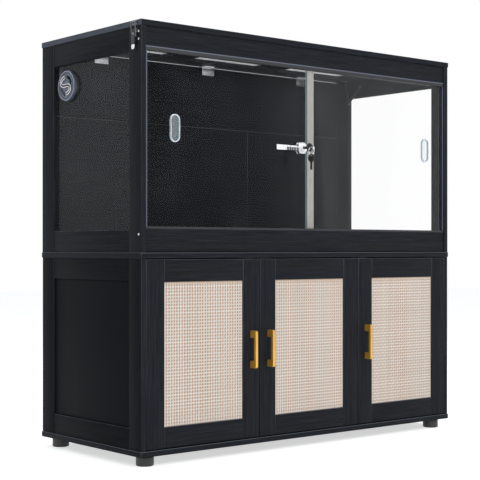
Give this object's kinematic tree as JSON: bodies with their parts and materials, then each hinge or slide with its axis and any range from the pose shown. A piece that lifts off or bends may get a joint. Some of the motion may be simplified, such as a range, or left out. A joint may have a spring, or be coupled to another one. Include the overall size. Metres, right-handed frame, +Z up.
{
  "type": "terrarium cabinet",
  "caption": "Glazed terrarium case with sliding glass doors and a hinged mesh lid, on a storage base with framed rattan doors.",
  "frame": {"origin": "on the floor under the feet, at the middle of the whole footprint, door handles, keys and lid hinges included", "axes": "+X to the right seen from the front, +Y to the back, +Z up; the doors face -Y"},
  "size_m": [1.2154, 0.5526, 1.1683],
  "materials": {
    "laminate": "dark charcoal wood-grain laminate, semi-gloss",
    "glass": "clear float glass with a teal cut edge",
    "rattan": "woven rattan cane, natural off-white",
    "brass": "brushed golden brass",
    "nickel": "bright nickel plating",
    "mesh_steel": "steel wire mesh",
    "black_plastic": "black moulded plastic",
    "key_plastic": "black plastic key",
    "track": "dark coated track, semi-gloss",
    "clear_plastic": "frosted clear plastic",
    "vent_grey": "grey metallic lacquer"
  },
  "bodies": {
    "cabinet": {"feet": "black_plastic", "bottom_board": "laminate", "lower_left_frame": "laminate", "lower_right_frame": "laminate", "lower_side_panels": "laminate", "lower_back": "laminate", "partition": "laminate", "door_hinge_arms": "nickel", "door_catches": "black_plastic", "mid_board": "laminate", "upper_left_frame": "laminate", "upper_right_frame": "laminate", "side_glass": "glass", "front_fascia": "laminate", "front_rail": "laminate", "glass_tracks": "track", "side_channels": "track", "back_boards": "laminate", "lid_hinge_lower_leaves": "nickel", "latch_bases": "nickel", "stay_posts": "nickel", "vent_housing": "vent_grey", "frame_screws": "nickel"},
    "lid": {"lid_board": "laminate", "lid_mesh": "mesh_steel", "lid_hinge_upper_leaves": "nickel", "lid_brackets": "nickel"},
    "vent_cover": {"vent_cover": "vent_grey"},
    "left_glass_door": {"glass_door_left": "glass", "glass_pull_left": "clear_plastic", "dust_strip": "clear_plastic", "lock_bar": "nickel"},
    "right_glass_door": {"glass_door_right": "glass", "glass_pull_right": "clear_plastic"},
    "glass_lock": {"lock_body": "nickel"},
    "lock_key": {"lock_plug": "nickel", "key": "key_plastic"},
    "key_ring": {"key_ring": "nickel"},
    "spare_key": {"spare_key": "key_plastic"},
    "latch_lever_left": {"latch_lever_left": "nickel"},
    "latch_loop_left": {"latch_loop_left": "nickel"},
    "stay_arm_left": {"stay_arm_left": "nickel"},
    "stay_link_left": {"stay_link_left": "nickel"},
    "latch_lever_right": {"latch_lever_right": "nickel"},
    "latch_loop_right": {"latch_loop_right": "nickel"},
    "stay_arm_right": {"stay_arm_right": "nickel"},
    "stay_link_right": {"stay_link_right": "nickel"},
    "door_left": {"door_left_frame": "laminate", "door_left_rattan": "rattan", "door_left_handle": "brass", "door_left_fittings": "nickel"},
    "door_middle": {"door_middle_frame": "laminate", "door_middle_rattan": "rattan", "door_middle_handle": "brass", "door_middle_fittings": "nickel"},
    "door_right": {"door_right_frame": "laminate", "door_right_rattan": "rattan", "door_right_handle": "brass", "door_right_fittings": "nickel"}
  },
  "joints": [
    {"name": "lid_hinge", "type": "hinge", "parent": "cabinet", "child": "lid", "pos_m": [0, 0.27326, 1.15], "axis": [-1, 0, 0], "range_deg": [0, 75]},
    {"name": "stay_arm_left_pivot", "type": "hinge", "parent": "cabinet", "child": "stay_arm_left", "pos_m": [-0.5815, 0.14846, 1.128], "axis": [1, 0, 0], "range_deg": [0, 51]},
    {"name": "stay_link_left_pivot", "type": "hinge", "parent": "lid", "child": "stay_link_left", "pos_m": [-0.579, 0.21346, 1.145], "axis": [1, 0, 0], "range_deg": [0, 58]},
    {"name": "latch_lever_left_pivot", "type": "hinge", "parent": "cabinet", "child": "latch_lever_left", "pos_m": [-0.6045, -0.20004, 1.132], "axis": [0, 1, 0], "range_deg": [0, 110]},
    {"name": "latch_loop_left_pivot", "type": "hinge", "parent": "latch_lever_left", "child": "latch_loop_left", "pos_m": [-0.6035, -0.20004, 1.124], "axis": [0, -1, 0], "range_deg": [0, 143]},
    {"name": "stay_arm_right_pivot", "type": "hinge", "parent": "cabinet", "child": "stay_arm_right", "pos_m": [0.5815, 0.14846, 1.128], "axis": [1, 0, 0], "range_deg": [0, 51]},
    {"name": "stay_link_right_pivot", "type": "hinge", "parent": "lid", "child": "stay_link_right", "pos_m": [0.579, 0.21346, 1.145], "axis": [1, 0, 0], "range_deg": [0, 58]},
    {"name": "latch_lever_right_pivot", "type": "hinge", "parent": "cabinet", "child": "latch_lever_right", "pos_m": [0.6045, -0.20004, 1.132], "axis": [0, -1, 0], "range_deg": [0, 110]},
    {"name": "latch_loop_right_pivot", "type": "hinge", "parent": "latch_lever_right", "child": "latch_loop_right", "pos_m": [0.6035, -0.20004, 1.124], "axis": [0, 1, 0], "range_deg": [0, 143]},
    {"name": "vent_turn", "type": "hinge", "parent": "cabinet", "child": "vent_cover", "pos_m": [-0.593, 0.13746, 1.031], "axis": [-1, 0, 0], "range_deg": [0, 90]},
    {"name": "left_glass_slide", "type": "slide", "parent": "cabinet", "child": "left_glass_door", "axis": [1, 0, 0], "range_m": [0, 0.55]},
    {"name": "right_glass_slide", "type": "slide", "parent": "cabinet", "child": "right_glass_door", "axis": [1, 0, 0], "range_m": [-0.47, 0]},
    {"name": "lock_slide", "type": "slide", "parent": "right_glass_door", "child": "glass_lock", "axis": [1, 0, 0], "range_m": [-0.06, 0]},
    {"name": "key_turn", "type": "hinge", "parent": "glass_lock", "child": "lock_key", "pos_m": [-0.032, -0.23626, 0.862], "axis": [0, 1, 0], "range_deg": [0, 90]},
    {"name": "ring_swing", "type": "hinge", "parent": "lock_key", "child": "key_ring", "pos_m": [-0.032, -0.26426, 0.8605], "axis": [1, 0, 0], "range_deg": [-20, 20]},
    {"name": "spare_key_swing", "type": "hinge", "parent": "key_ring", "child": "spare_key", "pos_m": [-0.032, -0.26426, 0.8405], "axis": [1, 0, 0], "range_deg": [-15, 15]},
    {"name": "door_left_hinge", "type": "hinge", "parent": "cabinet", "child": "door_left", "pos_m": [-0.58225, -0.22654, 0.2945], "axis": [0, 0, 1], "range_deg": [-100, 0]},
    {"name": "door_middle_hinge", "type": "hinge", "parent": "cabinet", "child": "door_middle", "pos_m": [0.19433, -0.22654, 0.2945], "axis": [0, 0, 1], "range_deg": [0, 90]},
    {"name": "door_right_hinge", "type": "hinge", "parent": "cabinet", "child": "door_right", "pos_m": [0.58225, -0.22654, 0.2945], "axis": [0, 0, 1], "range_deg": [0, 100]}
  ],
  "couplings": [
    {"joint": "stay_arm_left_pivot", "follows": "lid_hinge", "ratio": 0.67824},
    {"joint": "stay_link_left_pivot", "follows": "lid_hinge", "ratio": 0.77022},
    {"joint": "latch_loop_left_pivot", "follows": "latch_lever_left_pivot", "ratio": 1.3},
    {"joint": "stay_arm_right_pivot", "follows": "lid_hinge", "ratio": 0.67824},
    {"joint": "stay_link_right_pivot", "follows": "lid_hinge", "ratio": 0.77022},
    {"joint": "latch_loop_right_pivot", "follows": "latch_lever_right_pivot", "ratio": 1.3}
  ]
}
